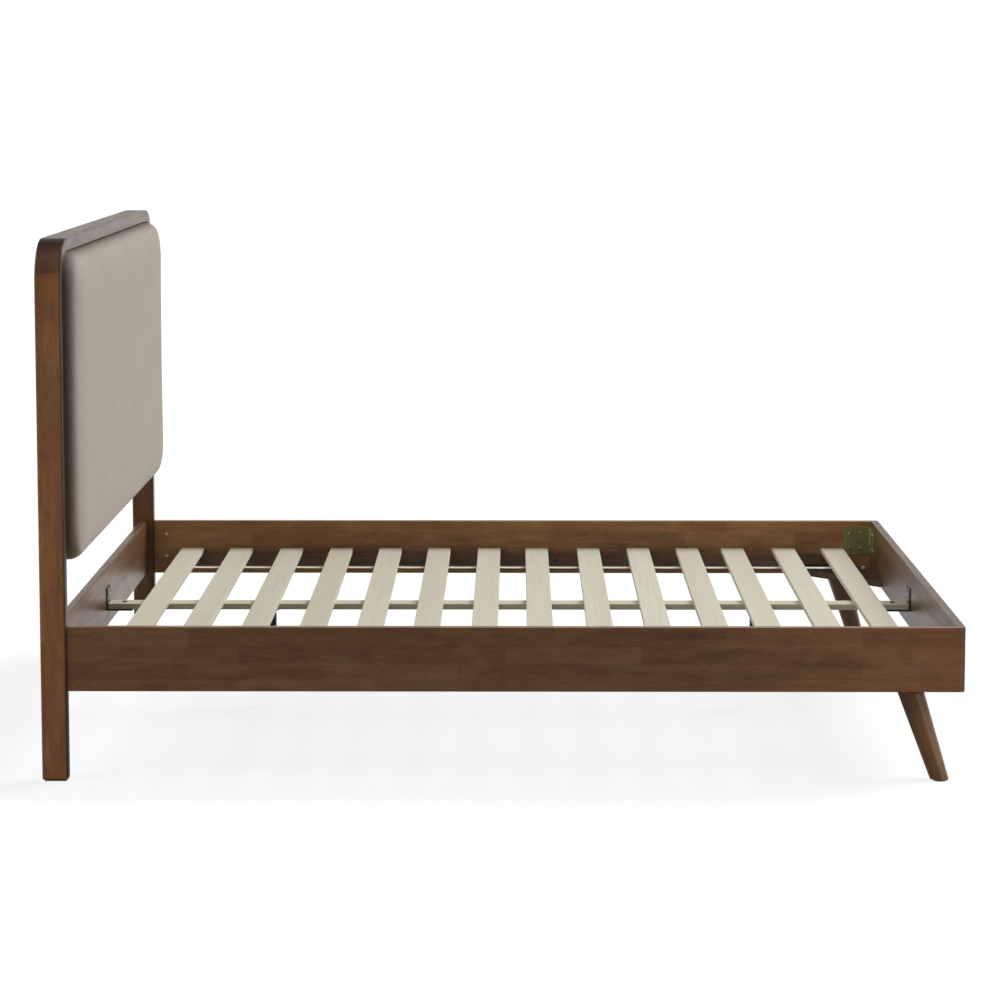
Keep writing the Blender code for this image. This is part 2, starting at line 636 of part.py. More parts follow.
def corner_brackets():
    """Steel angles in the foot corners, above the gussets."""
    top = RAIL_TOP - CORNER_BRACKET_DROP
    x, y = FOOT_RAIL_INNER - GAP, RAIL_INNER - GAP
    arm, plate = CORNER_BRACKET_ARM, CORNER_BRACKET_PLATE
    bend = CORNER_BRACKET_BEND
    fold = (x - plate - bend, y - plate - bend)
    outline = [*arc(fold, plate + bend, 0, 90), (x - arm, y), (x - arm, y - plate),
               *arc(fold, bend, 90, 0), (x - plate, y - arm), (x, y - arm)]
    for side, sign in SIDES:
        board(f"corner_bracket_{side}", [(px, sign * py) for px, py in outline], "Z",
              top - CORNER_BRACKET_HEIGHT, top, BLACK_STEEL, 0.0005)


# ---------------------------------------------------------------------- assembly
def build():
    posts = headboard_posts()
    headboard_top_rail()
    stretcher_low = PAD_BOTTOM + STRETCHER_LIFT
    tenoned_rail("headboard_stretcher", PANEL_FRONT - STRETCHER_THICKNESS / 2,
                 STRETCHER_THICKNESS, stretcher_low, stretcher_low + STRETCHER_HEIGHT, posts)
    headboard_panel()
    headboard_pad()
    head = tenoned_rail("head_rail", POST_MIDDLE, RAIL_THICKNESS, RAIL_BOTTOM, RAIL_TOP, posts)
    rails = side_rails()
    foot = foot_rail()
    bed_bolts(posts, rails)
    cleats()
    slats()
    slat_tapes()
    centre_beam({-1: head, 1: foot})
    middle_legs()
    splayed_legs()
    post_glides()
    corner_brackets()
    bpy.context.view_layer.update()


build()
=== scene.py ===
# %% [markdown]
# # A walnut platform bed with a padded headboard
#
# The bed's wood and steel come in as finished solids, in metres, with the origin on
# the floor under its middle. +X runs from the headboard to the foot and +Z is up.
# This lesson adds what makes it look real: the lacquered wood, the cloth pad, the
# woven tapes under the slats, and the small fasteners that hold it together.

# %% Load the bed
import math

import bmesh
import bpy
from mathutils import Matrix, Vector


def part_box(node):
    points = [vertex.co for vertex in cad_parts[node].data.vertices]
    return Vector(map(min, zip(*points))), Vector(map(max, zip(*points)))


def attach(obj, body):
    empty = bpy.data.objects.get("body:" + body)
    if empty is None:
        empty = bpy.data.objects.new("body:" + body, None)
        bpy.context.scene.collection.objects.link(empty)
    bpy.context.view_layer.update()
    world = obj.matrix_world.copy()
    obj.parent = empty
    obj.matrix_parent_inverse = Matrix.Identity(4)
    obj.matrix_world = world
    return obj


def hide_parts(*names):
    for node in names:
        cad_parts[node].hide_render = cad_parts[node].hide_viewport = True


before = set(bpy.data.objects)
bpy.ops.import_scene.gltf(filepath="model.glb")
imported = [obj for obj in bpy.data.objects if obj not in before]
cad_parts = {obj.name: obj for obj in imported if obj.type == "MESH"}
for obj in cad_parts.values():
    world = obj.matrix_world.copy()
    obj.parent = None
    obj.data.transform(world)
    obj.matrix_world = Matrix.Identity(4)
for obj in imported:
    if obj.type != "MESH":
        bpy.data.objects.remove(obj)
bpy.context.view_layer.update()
BED = "bed"
SIDES = (("right", -1), ("left", 1))
ENDS = (("head", -1), ("foot", 1))

# %% [markdown]
# ## The camera
#
# A long lens from far away keeps a bed's long lines nearly parallel, as in a
# catalogue. It stands level with the headboard's top, looks a little down, and its
# shift lowers the frame, so that the posts stay close to upright.

# %% Camera
LENS = 102.5
LOWER_FRAME = -0.12
STAND = (0.029, -7.261, 1.607)
LOOK_DOWN = math.radians(5.96)
TURN_LEFT = math.radians(0.316)

camera_data = bpy.data.cameras.new("catalogue_camera")
camera_data.lens = LENS
camera_data.shift_y = LOWER_FRAME
camera = bpy.data.objects.new("catalogue_camera", camera_data)
camera.location = STAND
camera.rotation_euler = (math.pi / 2 - LOOK_DOWN, 0, TURN_LEFT)
bpy.context.scene.collection.objects.link(camera)
bpy.context.scene.camera = camera
bpy.context.scene.view_settings.view_transform = "Standard"
print("camera", [round(v, 3) for v in camera.location], "lens", LENS)

# %% [markdown]
# ## Nodes in one line
#
# Every finish below is a small tree of shader nodes. A helper that makes a node, sets
# its inputs and links the ones that are given as sockets keeps each tree readable.


# %% Node helper
def add_node(tree, kind, inputs=None, **settings):
    """Makes a shader node. An input is given by its name or number: a socket is linked."""
    made = tree.nodes.new("ShaderNode" + kind)
    for name, value in settings.items():
        setattr(made, name, value)
    for key, value in (inputs or {}).items():
        if isinstance(value, bpy.types.NodeSocket):
            tree.links.new(value, made.inputs[key])
        else:
            made.inputs[key].default_value = value
    return made


def new_finish(name, **shader_inputs):
    """A material with a Principled shader, and its tree."""
    finish = bpy.data.materials.new(name)
    finish.use_nodes = True
    shader = finish.node_tree.nodes["Principled BSDF"]
    for key, value in shader_inputs.items():
        shader.inputs[key.replace("_", " ")].default_value = value
    return finish, finish.node_tree, shader


def blend_colours(tree, factor, first, second, mode="MIX"):
    """From the first colour at factor 0 to the second at 1. Colour sockets are 6 and 7."""
    mix = tree.nodes.new("ShaderNodeMix")
    mix.data_type = "RGBA"
    mix.blend_type = mode
    for number, value in ((0, factor), (6, first), (7, second)):
        socket = mix.inputs[number]
        if isinstance(value, bpy.types.NodeSocket):
            tree.links.new(value, socket)
        else:
            socket.default_value = value if socket.type == "VALUE" else (*value, 1)
    return mix.outputs[2]


def remap(tree, value, low, high, to_low=0.0, to_high=1.0):
    """Stretches low..high to to_low..to_high and stops at both ends."""
    found = add_node(tree, "MapRange", {"Value": value, "From Min": low, "From Max": high,
                                        "To Min": to_low, "To Max": to_high})
    return found.outputs["Result"]


def raise_bump(tree, shader, height, distance, strength):
    """Relief without geometry: distance is its depth in metres."""
    bump = add_node(tree, "Bump", {"Height": height, "Distance": distance,
                                   "Strength": strength})
    tree.links.new(bump.outputs["Normal"], shader.inputs["Normal"])


def own_place(tree):
    """The piece's own coordinates, in metres."""
    return tree.nodes.new("ShaderNodeTexCoord").outputs["Object"]


# %% [markdown]
# ## The studio
#
# White furniture catalogues are shot on a white sweep. The floor glows a little where
# it is seen, and behind the bed where it is mirrored, as an overlit sweep does,
# so that only a soft grey shadow is left under the bed. It lights the bed itself very
# little, or the shadow would be gone.

# %% Floor
FLOOR_SIZE = 300
FLOOR_GREY = (0.30, 0.30, 0.30, 1)
FLOOR_GLOW_SEEN, FLOOR_GLOW_LIGHT = 0.77, 0.04
GLOW_STARTS, GLOW_FULL = 0.8, 1.1          # metres behind the bed's middle

bpy.ops.mesh.primitive_plane_add(size=FLOOR_SIZE)
floor = bpy.context.object
floor.name = "studio_floor"
floor_finish, floor_tree, floor_shader = new_finish(
    "studio_white", Base_Color=FLOOR_GREY, Roughness=1.0, Emission_Color=(1, 1, 1, 1))
floor_shader.inputs["Specular IOR Level"].default_value = 0.0
rays = add_node(floor_tree, "LightPath").outputs
spot_on_floor = add_node(floor_tree, "SeparateXYZ", {0: own_place(floor_tree)}).outputs
behind = remap(floor_tree, spot_on_floor["Y"], GLOW_STARTS, GLOW_FULL,
               FLOOR_GLOW_LIGHT, FLOOR_GLOW_SEEN)
mirrored = add_node(floor_tree, "Mix", {0: rays["Is Diffuse Ray"], 2: behind,
                                        3: FLOOR_GLOW_LIGHT}).outputs[0]
glow = add_node(floor_tree, "Mix", {0: rays["Is Camera Ray"], 2: mirrored,
                                    3: FLOOR_GLOW_SEEN}).outputs[0]
floor_tree.links.new(glow, floor_shader.inputs["Emission Strength"])
floor.data.materials.append(floor_finish)
print("floor", FLOOR_SIZE, "metres across")

# %% [markdown]
# The rest of the room is not evenly white. The sweep behind the bed is pale, while the
# ceiling and the side behind the camera are dark. That difference is what gives
# lacquered wood its depth, so the world's brightness follows direction.

# %% World
BACK_WALL, FRONT_ROOM, CEILING, SKY_SEEN = 0.85, 0.09, 0.14, 1.02
world = bpy.data.worlds.new("studio_world")
bpy.context.scene.world = world
world.use_nodes = True
room = world.node_tree
sky = room.nodes["Background"]
toward = add_node(room, "SeparateXYZ", {0: add_node(room, "TexCoord").outputs["Generated"]})
wall = remap(room, toward.outputs["Y"], -0.35, 0.75, FRONT_ROOM, BACK_WALL)
height_share = remap(room, toward.outputs["Z"], 0.22, 0.62)
dim = add_node(room, "Mix", {0: height_share, 2: wall, 3: CEILING}).outputs[0]
sky_seen = add_node(room, "LightPath").outputs["Is Camera Ray"]
room.links.new(add_node(room, "Mix", {0: sky_seen, 2: dim, 3: SKY_SEEN}).outputs[0],
               sky.inputs["Strength"])
sky.inputs["Color"].default_value = (1, 1, 1, 1)
print("world", BACK_WALL, "behind the bed,", FRONT_ROOM, "in front of it")

# %% [markdown]
# Two wide softboxes stand far off, one at the foot and a weaker one at the head. A sun
# with a large angle is such a box: its shadows are soft, and it is equally strong at
# both ends of a long bed. A narrow spot from the foot corner picks out the round leg.


# %% Lamps
def add_sun(name, toward, strength, spread):
    """A far, wide lamp: its light is as strong everywhere, and its shadows are soft."""
    data = bpy.data.lights.new(name, "SUN")
    data.energy = strength * math.pi
    data.angle = math.radians(spread)
    lamp = bpy.data.objects.new(name, data)
    lamp.rotation_euler = Vector(toward).to_track_quat("Z", "Y").to_euler()
    bpy.context.scene.collection.objects.link(lamp)


add_sun("foot_side_softbox", (0.65, 0.36, 0.66), 0.80, 38)
add_sun("head_side_softbox", (-0.66, -0.24, 0.71), 0.30, 45)

SPOT_WATTS, SPOT_RADIUS, SPOT_CONE = 420, 0.30, math.radians(8)
SPOT_STAND, SPOT_AIM = Vector((5.0, -4.2, 1.1)), Vector((1.0, -0.76, 0.13))
spot_data = bpy.data.lights.new("leg_spot", "SPOT")
spot_data.energy, spot_data.shadow_soft_size = SPOT_WATTS, SPOT_RADIUS
spot_data.spot_size, spot_data.spot_blend = SPOT_CONE, 1.0
spot = bpy.data.objects.new("leg_spot", spot_data)
spot.location = SPOT_STAND
spot.rotation_euler = (SPOT_STAND - SPOT_AIM).to_track_quat("Z", "Y").to_euler()
bpy.context.scene.collection.objects.link(spot)
print("lamps", len(bpy.data.lights))

# %% [markdown]
# ## Walnut-stained wood
#
# The frame is made of short staves glued into boards, stained walnut brown and
# lacquered to a satin shine. The stain hides the joints but not the change of tone
# from stave to stave. All the patterns read the piece's own coordinates, turned so that
# the grain runs along the first axis, and noise is squeezed across the grain, so that
# its marks come out long.


# %% Grain coordinates
def grain_space(tree, grain, across, offset):
    """Object coordinates turned so that X follows the grain and Y the board's face."""
    grain, across = Vector(grain).normalized(), Vector(across).normalized()
    turned = Matrix((grain, across, grain.cross(across))).to_euler()
    mapped = add_node(tree, "Mapping", {"Vector": own_place(tree), "Rotation": turned,
                                        "Location": offset})
    return mapped.outputs["Vector"]


def stretched(tree, space, scale):
    """The same coordinates, multiplied along each axis."""
    found = add_node(tree, "VectorMath", {0: space, 1: scale}, operation="MULTIPLY")
    return found.outputs["Vector"]


def weighed_sum(tree, parts):
    """Adds up sockets, each times its weight."""
    total = 0.0
    for socket, weight in parts:
        total = add_node(tree, "Math", {0: socket, 1: weight, 2: total},
                         operation="MULTIPLY_ADD").outputs[0]
    return total


def grain_noise(tree, space, along, across, detail, distortion=0.0):
    """Noise whose marks are long along the grain. The numbers are marks to the metre."""
    return add_node(tree, "TexNoise", {
        "Vector": stretched(tree, space, (along, across, across)), "Scale": 1.0,
        "Detail": detail, "Roughness": 0.6, "Distortion": distortion}).outputs["Fac"]


# %% [markdown]
# Four layers set the tone: a brick pattern for the staves, long streaks, fine fibres
# and broad blotches. Then come red patches, a few knots where round cells have their
# middles, and dark pores. End grain drinks more stain, so a face that looks along the
# grain is darker. The lacquer is a little rougher over the dark streaks.


# %% Walnut
STAVE_LENGTH = 0.31
STAVE_SHIFT = 0.37            # from one row of staves to the next, as a share
RED_SHARES = (0.74, 0.52, 0.56)
KNOTS_TO_THE_METRE = (2.6, 7.0, 0.0)
PORE_BROWN = (0.040, 0.018, 0.008)
END_GRAIN_BROWN = (0.055, 0.024, 0.009)


def walnut(name, grain, across, offset, dark, light, stave=0.038):
    finish, tree, shader = new_finish(name, IOR=1.5)
    space = grain_space(tree, grain, across, offset)
    normal = tree.nodes.new("ShaderNodeTexCoord").outputs["Normal"]
    facing = add_node(tree, "VectorMath", {0: normal, 1: Vector(grain).normalized()},
                      operation="DOT_PRODUCT").outputs["Value"]
    end_grain = add_node(tree, "Math", {0: facing}, operation="ABSOLUTE").outputs[0]
    staves = add_node(tree, "TexBrick", {
        "Vector": space, "Color1": (0, 0, 0, 1), "Color2": (1, 1, 1, 1), "Scale": 1.0,
        "Mortar Size": 0.0, "Brick Width": STAVE_LENGTH, "Row Height": stave},
        offset=STAVE_SHIFT).outputs["Color"]
    streaks = grain_noise(tree, space, 5, 48, 5.0, 0.5)
    fibres = grain_noise(tree, space, 26, 420, 2.0)
    blotches = grain_noise(tree, space, 8, 20, 2.0, 0.8)
    tone = weighed_sum(tree, ((staves, 0.16), (streaks, 0.42), (fibres, 0.22),
                              (blotches, 0.36)))
    stain = blend_colours(tree, remap(tree, tone, 0.42, 0.74), dark, light)
    redness = grain_noise(tree, space, 2.6, 11, 2.0)
    red = [value * share for value, share in zip(light, RED_SHARES)]
    stain = blend_colours(tree, remap(tree, redness, 0.50, 0.68, 0, 0.45), stain, red)
    cells = stretched(tree, space, KNOTS_TO_THE_METRE)
    knots = add_node(tree, "TexVoronoi", {"Vector": cells, "Scale": 1.0}).outputs["Distance"]
    stain = blend_colours(tree, remap(tree, knots, 0.17, 0.03, 0, 0.50), stain,
                          [value * 0.6 for value in dark])
    pores = remap(tree, grain_noise(tree, space, 45, 800, 1.0), 0.60, 0.70)
    stain = blend_colours(tree, remap(tree, pores, 0, 1, 0, 0.45), stain, PORE_BROWN)
    stain = blend_colours(tree, remap(tree, end_grain, 0.30, 0.90, 0, 0.80), stain,
                          END_GRAIN_BROWN)
    tree.links.new(stain, shader.inputs["Base Color"])
    tree.links.new(remap(tree, streaks, 0.3, 0.7, 0.40, 0.32), shader.inputs["Roughness"])
    raise_bump(tree, shader, add_node(tree, "Math", {0: fibres, 1: pores},
                                      operation="SUBTRACT").outputs[0], 0.00015, 0.35)
    return finish


# %% [markdown]
# Each board has its own stain, but some of the differences are painted light and shade. The
# rails across the bed are darker, as painted shade for their inner faces in the shade of the
# slats, and the top rail is darker as well. The left side rail is lighter than the right one as
# painted light on its inner face, and the posts are lighter, partly because they are more
# orange and partly as painted light. Painted shade then sets in within a few millimetres on the
# posts' front faces and tops, and on every face of the posts and side rails except the one at
# -Y, which keeps the lighter tone. Multiplying by the tone keeps the grain.


# %% Walnut boards
def paint_shade_beyond(finish, axis, start, stop, tone):
    """Paints shade: multiplies the stain by a darker tone that sets in from start to stop along
    one axis.
    """
    tree = finish.node_tree
    shader = tree.nodes["Principled BSDF"]
    place = add_node(tree, "SeparateXYZ", {0: own_place(tree)}).outputs[axis]
    stain = shader.inputs["Base Color"].links[0].from_socket
    stain = blend_colours(tree, remap(tree, place, start, stop), stain, tone, "MULTIPLY")
    tree.links.new(stain, shader.inputs["Base Color"])


X, Y, Z = (1, 0, 0), (0, 1, 0), (0, 0, 1)
# Painted light: the left side rail's stain is lighter than the right one's, for the light on
# its inner face.
side_walnut = {
    "right": walnut("walnut_side_right", X, Z, (0.3, -0.011, -0.7), dark=(0.175, 0.076, 0.026),
                    light=(0.375, 0.174, 0.066)),
    "left": walnut("walnut_side_left", X, Z, (0.3, 0.011, 0.7), dark=(0.275, 0.134, 0.049),
                   light=(0.560, 0.295, 0.119))}
# Painted shade: the rails across the bed have a darker stain, for the shade of the slats on
# their inner faces.
cross_walnut = walnut("walnut_cross", Y, Z, (0.9, 0.02, 0.4), dark=(0.085, 0.042, 0.018),
                      light=(0.180, 0.092, 0.042))
top_walnut = walnut("walnut_top", Y, X, (0.2, 0.01, 0.1), dark=(0.070, 0.034, 0.015),
                    light=(0.150, 0.078, 0.036), stave=0.030)
# The posts' lighter stain is partly their more orange wood and partly painted light.
post_walnut = {side: walnut(f"walnut_post_{side}", Z, X, (0.13 * sign, 0.004, 0.9),
                            dark=(0.315, 0.128, 0.040), light=(0.600, 0.258, 0.092),
                            stave=0.030) for side, sign in SIDES}
POST_FRONT_PAINTED_SHADE, POST_TOP_PAINTED_SHADE, POST_OTHER_FACES_PAINTED_SHADE = (0.28, 0.33, 0.40), (0.25, 0.28, 0.33), (0.48, 0.53, 0.60)
RAIL_OTHER_FACES_PAINTED_SHADE = {"right": (0.75, 0.75, 0.75), "left": (0.55, 0.52, 0.52)}
# Painted shade on the posts: darker front faces and tops, and every face but the one at -Y
# darker.
for side, finish in post_walnut.items():
    low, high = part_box(f"headboard_post_{side}")
    paint_shade_beyond(finish, "X", high.x - 0.006, high.x - 0.002, POST_FRONT_PAINTED_SHADE)
    paint_shade_beyond(finish, "Z", high.z - 0.030, high.z - 0.003, POST_TOP_PAINTED_SHADE)
    paint_shade_beyond(finish, "Y", low.y + 0.001, low.y + 0.004, POST_OTHER_FACES_PAINTED_SHADE)
# Painted shade on the side rails: every face but the one at -Y is darker.
for side, tone in RAIL_OTHER_FACES_PAINTED_SHADE.items():
    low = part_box(f"side_rail_{side}")[0]
    paint_shade_beyond(side_walnut[side], "Y", low.y + 0.001, low.y + 0.004, tone)
print("walnut finishes", len(side_walnut) + len(post_walnut) + 2)

# %% [markdown]
# The splayed legs are turned from one block each, so their grain follows the lean. A
# leg goes this far towards the foot and outwards for each unit of height.

# %% Leg walnut
LEG_SPLAY = 0.3156
leg_walnut = {}
for side, sign in SIDES:
    lean = Vector((-LEG_SPLAY, -LEG_SPLAY * sign, 1.0))
    leg_walnut[side] = walnut(f"walnut_leg_{side}", lean, Vector((1, 0, LEG_SPLAY)),
                              (0.37, 0.5 * sign, 0.2), dark=(0.130, 0.060, 0.024),
                              light=(0.270, 0.132, 0.056), stave=0.2)
print("leg finishes", len(leg_walnut))

# %% [markdown]
# ## Dark inner boards
#
# Cleats, corner boards and the headboard's back are plain boards under a matt dark
# stain. The same tree with darker colours and a rougher surface serves them. Their
# roughness is even, so its link is cut and the number set on the shader.


# %% Dark stained boards
MATT = 0.55


def dark_board(name, grain, across, dark=(0.075, 0.040, 0.020), light=(0.170, 0.096, 0.052)):
    finish = walnut(name, grain, across, (0.1, 0.2, 0.3), dark, light, stave=0.12)
    shader = finish.node_tree.nodes["Principled BSDF"]
    for link in list(shader.inputs["Roughness"].links):
        finish.node_tree.links.remove(link)
    shader.inputs["Roughness"].default_value = MATT
    return finish


dark_cleat = dark_board("dark_cleat", X, Z, dark=(0.120, 0.068, 0.038),
                        light=(0.260, 0.150, 0.088))
dark_corner = dark_board("dark_corner_board", (1, -1, 0), (1, 1, 0))
dark_back = dark_board("dark_back_board", Y, Z, dark=(0.105, 0.058, 0.031),
                       light=(0.145, 0.081, 0.044))
print("dark boards' roughness", MATT)

# %% [markdown]
# ## Pale slats
#
# The slats and the beam are sanded poplar with no lacquer. Pale wood shows thin grain
# lines, a few warm streaks and a slightly different tone on each slat. Each slat sits
# at its own place along the bed, so noise that only changes along X gives the tones.


# %% Pale wood
WARM_SLAT = (0.665, 0.595, 0.465)


def pale_wood(name, grain, across, tone_scale, pale, warm):
    finish, tree, shader = new_finish(name, IOR=1.45, Roughness=0.62)
    space = grain_space(tree, grain, across, (0.2, 0.4, 0.1))
    lines = grain_noise(tree, space, 3.5, 150, 4.0)
    figure = add_node(tree, "TexWave", {
        "Vector": stretched(tree, space, (0.9, 14, 14)), "Scale": 2.4, "Distortion": 7.0,
        "Detail": 2.5, "Detail Scale": 1.2},
        wave_type="RINGS", rings_direction="X").outputs["Fac"]
    tones = add_node(tree, "TexNoise", {
        "Vector": stretched(tree, space, tone_scale), "Scale": 1.0,
        "Detail": 1.0}).outputs["Fac"]
    wood = blend_colours(tree, remap(tree, lines, 0.42, 0.72, 0, 0.55), pale, warm)
    wood = blend_colours(tree, remap(tree, figure, 0.55, 1.0, 0, 0.22), wood, warm)
    wood = blend_colours(tree, remap(tree, tones, 0.38, 0.62, 0, 0.75), wood, WARM_SLAT)
    tree.links.new(wood, shader.inputs["Base Color"])
    raise_bump(tree, shader, lines, 0.0002, 0.3)
    return finish


slat_wood = pale_wood("pale_slat_wood", Y, X, (0.4, 7.1, 0.1), pale=(0.72, 0.69, 0.565),
                      warm=(0.62, 0.54, 0.40))
beam_wood = pale_wood("pale_beam_wood", X, Y, (1.5, 3, 3), pale=(0.70, 0.65, 0.505),
                      warm=(0.47, 0.40, 0.26))
print("pale woods", slat_wood.name, beam_wood.name)

# %% [markdown]
# ## Steel, zinc and plastic
#
# Powder coat has a fine orange-peel skin. Zinc plate is bright with cloudy patches. The nickel
# is nearly white and hardly metallic, so its paleness is a painted reflection that keeps the
# barrel nuts' ends bright. The corner angles have an olive passivated coat that shines. One
# tree makes them all: clouds of two colours, and a skin of tiny bumps.


# %% Metals and plastic
SKIN_SCALE = 1100.0           # bumps to the metre


def speckled(name, colour, other, scale, bump, low, high, **shader_inputs):
    """A coat with cloudy patches of two colours, a fine skin and an uneven shine."""
    finish, tree, shader = new_finish(name, **shader_inputs)
    place = own_place(tree)
    clouds = add_node(tree, "TexNoise", {"Vector": place, "Scale": scale, "Detail": 4.0,
                                         "Roughness": 0.6}).outputs["Fac"]
    skin = add_node(tree, "TexNoise", {"Vector": place, "Scale": SKIN_SCALE, "Detail": 1.0})
    tree.links.new(blend_colours(tree, remap(tree, clouds, 0.35, 0.65), colour, other),
                   shader.inputs["Base Color"])
    tree.links.new(remap(tree, clouds, 0.3, 0.7, low, high), shader.inputs["Roughness"])
    raise_bump(tree, shader, skin.outputs["Fac"], bump, 0.5)
    return finish


black_steel = speckled("black_powder_coat", (0.018, 0.018, 0.019), (0.028, 0.028, 0.029),
                       60, 0.0002, 0.36, 0.48)
olive_steel = speckled("olive_passivated_steel", (0.37, 0.39, 0.165), (0.43, 0.43, 0.20),
                       25, 0.00003, 0.26, 0.34, Metallic=0.85)
zinc = speckled("zinc_plate", (0.88, 0.84, 0.81), (0.76, 0.73, 0.71), 90, 0.00005, 0.34, 0.48,
                Metallic=0.45)
# Painted reflection: the nickel's near-white colour stands in for the bright reflection of a
# metal nut end.
nickel = speckled("nickel_painted_reflection", (0.96, 0.92, 0.89), (0.90, 0.86, 0.83), 90, 0.00005,
                  0.40, 0.50, Metallic=0.05)
black_plastic = speckled("black_plastic", (0.020, 0.020, 0.020), (0.030, 0.030, 0.030), 40,
                         0.0001, 0.42, 0.52)
print("skin bumps to the metre", SKIN_SCALE)

# %% [markdown]
# ## Finishes for the solids
#
# Each solid already has its shape, so it only needs its own finish in place of the
# plain one.


# %% Give the solids their finishes
def wear(node, finish):
    for number in range(len(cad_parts[node].data.materials)):
        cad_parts[node].data.materials[number] = finish


for side, sign in SIDES:
    wear(f"headboard_post_{side}", post_walnut[side])
    wear(f"side_rail_{side}", side_walnut[side])
    wear(f"foot_leg_{side}", leg_walnut[side])
    wear(f"cleat_{side}", dark_cleat)
    wear(f"leg_gusset_{side}", dark_corner)
    wear(f"corner_bracket_{side}", olive_steel)
    wear(f"leg_glide_{side}", black_plastic)
    wear(f"post_glide_{side}", black_plastic)
for end, sign in ENDS:
    wear(f"{end}_rail", cross_walnut)
    wear(f"beam_bracket_{end}", black_steel)
    wear(f"centre_leg_{end}", black_steel)
wear("headboard_top_rail", top_walnut)
wear("headboard_stretcher", cross_walnut)
wear("headboard_panel", dark_back)
wear("centre_beam", beam_wood)
slats = sorted(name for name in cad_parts
               if name.startswith("slat_") and name[5:].isdigit())
for slat in slats:
    wear(slat, slat_wood)
print("slats", len(slats))

# %% [markdown]
# ## Linen cloth
#
# The pad is covered in a heathered plain weave. Its colour comes from threads of
# three tones, thick and thin along their length, and its surface from warp and weft
# passing over each other. Sheen, the soft glow of loose fibres, lightens the cloth
# where it is seen edge on. The cloth lies mostly in the YZ plane, so the pattern
# reads those two coordinates.


# %% Linen threads
THREAD = 0.0014               # metres from thread to thread
WAVE_RULE = 0.314 / 2         # a wave texture's scale is this over the pitch in metres


def threads(tree, place, along, pitch):
    """Waves across a set of threads, and a slub noise that is long along them."""
    across = "Z" if along == "Y" else "Y"
    wave = add_node(tree, "TexWave", {"Vector": place, "Scale": WAVE_RULE / pitch,
                                      "Distortion": 0.0},
                    wave_type="BANDS", bands_direction=across).outputs["Fac"]
    long_way = {"Y": (1, 30, 900), "Z": (1, 900, 30)}[along]
    slub = add_node(tree, "TexNoise", {"Vector": stretched(tree, place, long_way), "Scale": 1.0,
                                       "Detail": 2.0}).outputs["Fac"]
    return wave, slub


# %% [markdown]
# Three thread colours are blended by the slubs, a rosy tint lies in faint clouds, and the gaps
# between threads are darker. The pad's sides are darker as painted shade, for the shade of its
# own rounded edge: a darker tone is multiplied in behind the face.

# %% Linen
OAT, SAND, CREAM = (0.430, 0.362, 0.300), (0.530, 0.468, 0.395), (0.590, 0.530, 0.440)
ROSE, GAP = (0.485, 0.390, 0.345), (0.30, 0.245, 0.20)
PAD_SIDE_PAINTED_SHADE = (0.36, 0.33, 0.32)


def linen(name):
    finish, tree, shader = new_finish(name, Roughness=0.92, Sheen_Weight=0.25,
                                      Sheen_Roughness=0.45)
    shader.inputs["Specular IOR Level"].default_value = 0.2
    place = own_place(tree)
    warp, warp_slub = threads(tree, place, "Z", THREAD)
    weft, weft_slub = threads(tree, place, "Y", THREAD)
    clouds = add_node(tree, "TexNoise", {"Vector": place, "Scale": 11.0, "Detail": 3.0})
    cloth = blend_colours(tree, remap(tree, warp_slub, 0.38, 0.62), OAT, SAND)
    cloth = blend_colours(tree, remap(tree, weft_slub, 0.38, 0.66, 0, 0.7), cloth, CREAM)
    cloth = blend_colours(tree, remap(tree, clouds.outputs["Fac"], 0.38, 0.62, 0, 0.42),
                          cloth, ROSE)
    weave = add_node(tree, "Math", {0: warp, 1: weft}, operation="MULTIPLY")
    cloth = blend_colours(tree, remap(tree, weave.outputs[0], 0, 0.35, 0.22, 0), cloth, GAP)
    tree.links.new(cloth, shader.inputs["Base Color"])
    height = add_node(tree, "Math", {0: weave.outputs[0], 1: weft_slub})
    raise_bump(tree, shader, height.outputs[0], 0.0006, 0.35)
    return finish


pad_linen = linen("heathered_linen")
pad_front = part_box("headboard_pad")[1].x
# Painted shade: the cloth darkens from 10 mm to 34 mm behind the pad's face, on its rounded
# sides.
paint_shade_beyond(pad_linen, "X", pad_front - 0.010, pad_front - 0.034, PAD_SIDE_PAINTED_SHADE)
print("linen thread", THREAD)

# %% [markdown]
# ## The pad
#
# A foam block on a board is wrapped in cloth that is pulled tight and stapled behind.
# Its face is almost flat, its edges are round, and the cloth lies a little uneven at
# the corners. A cloth simulation gives that unevenness by itself. Helpers that copy a
# solid and make modifiers permanent come first.


# %% Copy and apply
def as_mesh(shape, name):
    """A bmesh becomes a mesh and is freed."""
    mesh = bpy.data.meshes.new(name)
    shape.to_mesh(mesh)
    shape.free()
    return mesh


def copy_of(node, name):
    """A merged copy of a solid's mesh, as a new object."""
    shape = bmesh.new()
    shape.from_mesh(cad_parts[node].data)
    bmesh.ops.remove_doubles(shape, verts=shape.verts, dist=0.00005)
    piece = bpy.data.objects.new(name, as_mesh(shape, name))
    bpy.context.scene.collection.objects.link(piece)
    return piece


def apply_modifiers(piece):
    """The piece's mesh becomes what its modifiers made of it."""
    graph = bpy.context.evaluated_depsgraph_get()
    mesh = bpy.data.meshes.new_from_object(piece.evaluated_get(graph))
    piece.modifiers.clear()
    old, piece.data = piece.data, mesh
    bpy.data.meshes.remove(old)


# %% [markdown]
# The plain solid is remeshed into even squares and smoothed, because cloth needs even
# squares. Its face starts a little low, so that it can swell to its real place.

# %% Pad block
PAD_VOXEL = 0.0105
PAD_SWELL = 0.003
PAD_SHRINK = 0.002
PAD_EDGE = 0.012              # how far behind the face the cloth is held
CLEAR_OF_POSTS = 0.004        # in front of the posts the cloth is free

